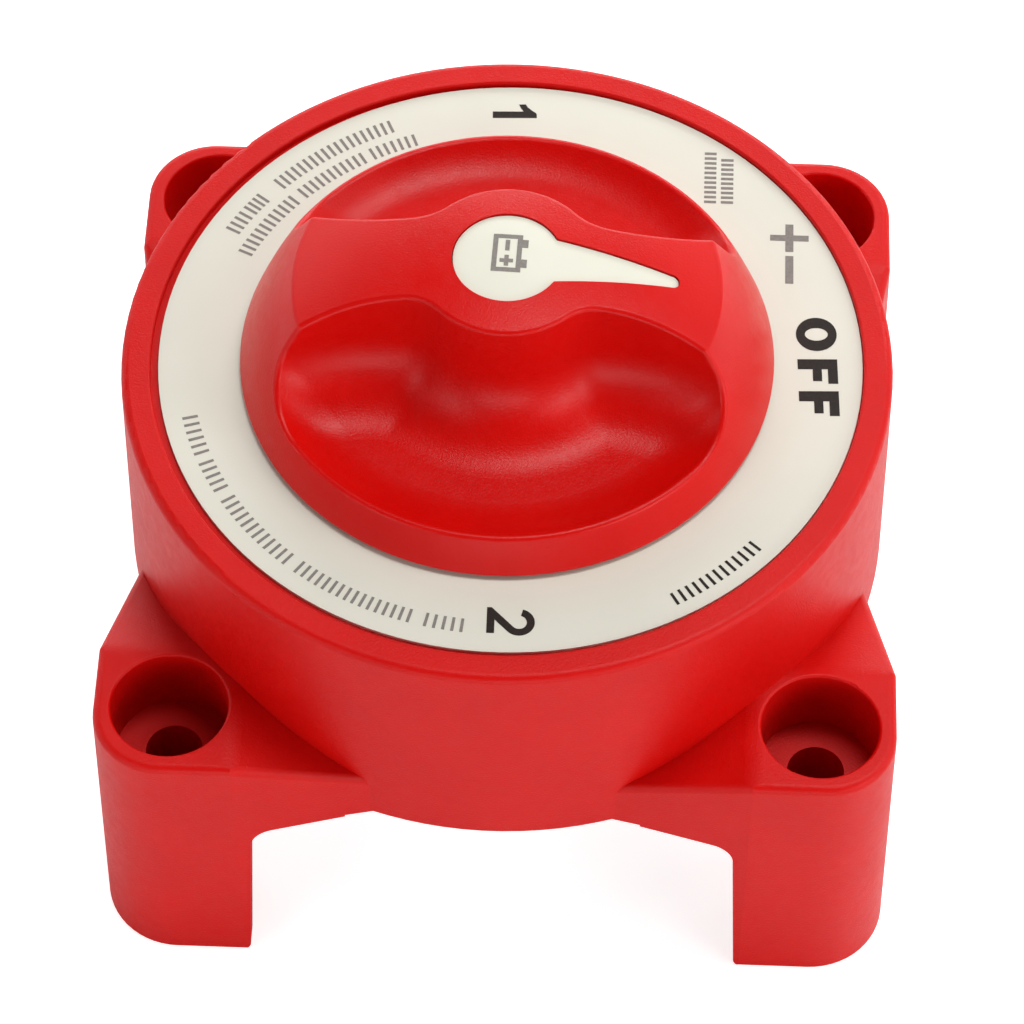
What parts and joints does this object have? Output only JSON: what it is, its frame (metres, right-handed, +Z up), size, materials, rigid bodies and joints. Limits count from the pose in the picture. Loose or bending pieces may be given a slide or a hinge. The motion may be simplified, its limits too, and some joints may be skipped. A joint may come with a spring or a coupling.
{
  "type": "battery selector switch",
  "caption": "Surface-mount rotary battery selector switch on four legs, with a finger-well knob, a printed dial and threaded terminal studs beneath.",
  "frame": {"origin": "centre of the mounting plane under the four feet", "axes": "+Z up along the knob's axis, +X towards the OFF mark, +Y towards the 1 mark"},
  "size_m": [0.099, 0.099, 0.0811],
  "materials": {
    "red_housing": "fine moulded grain, satin",
    "red_knob": "satin moulded, smooth wells",
    "cream_label": "printed polyester film, satin",
    "cream_insert": "satin moulded",
    "stainless": "bright turned",
    "white_nylon": "natural nylon",
    "black_rubber": "matt",
    "copper": "bright copper",
    "silver": "silver contact",
    "tinned_copper": "tin plated",
    "black_base": "glass-filled thermoset"
  },
  "bodies": {
    "body": {"housing": "red_housing", "dial_label": "cream_label", "detent_ring": "white_nylon", "terminal_base": "black_base", "base_gasket": "black_rubber", "base_screws": "stainless", "stud_one": "tinned_copper", "stud_two": "tinned_copper", "stud_common": "tinned_copper", "common_bus_bar": "copper", "fixed_contact_pads": "silver", "stud_flat_washers": "stainless", "stud_lock_washers": "stainless", "stud_nuts": "stainless"},
    "rotor": {"knob": "red_knob", "pointer_insert": "cream_insert", "knob_screw": "stainless", "drive_shaft": "white_nylon", "shaft_o_ring": "black_rubber", "thrust_washer": "white_nylon", "retaining_clip": "stainless", "contact_carrier": "white_nylon", "contact_spring": "stainless", "detent_spring_left": "stainless", "detent_spring_right": "stainless"},
    "blade": {"contact_blade": "copper", "blade_contact_pads": "silver"},
    "plunger_left": {"detent_plunger_left": "stainless"},
    "plunger_right": {"detent_plunger_right": "stainless"}
  },
  "joints": [
    {"name": "knob_turn", "type": "hinge", "parent": "body", "child": "rotor", "pos_m": [0, 0, 0.06], "axis": [0, 0, 1], "range_deg": [-88, 92]},
    {"name": "blade_lift", "type": "slide", "parent": "rotor", "child": "blade", "axis": [0, 0, 1], "range_m": [0, 0.0012], "stiffness_N_per_m": 400, "springref_m": -0.001, "deforming": ["contact_spring"]},
    {"name": "plunger_left_slide", "type": "slide", "parent": "rotor", "child": "plunger_left", "axis": [0, 0, 1], "range_m": [-0.001, 0.0005], "stiffness_N_per_m": 30, "deforming": ["detent_spring_left"]},
    {"name": "plunger_right_slide", "type": "slide", "parent": "rotor", "child": "plunger_right", "axis": [0, 0, 1], "range_m": [-0.001, 0.0005], "stiffness_N_per_m": 30, "deforming": ["detent_spring_right"]}
  ],
  "couplings": [
    {"joint": "plunger_right_slide", "follows": "plunger_left_slide", "ratio": 1}
  ]
}
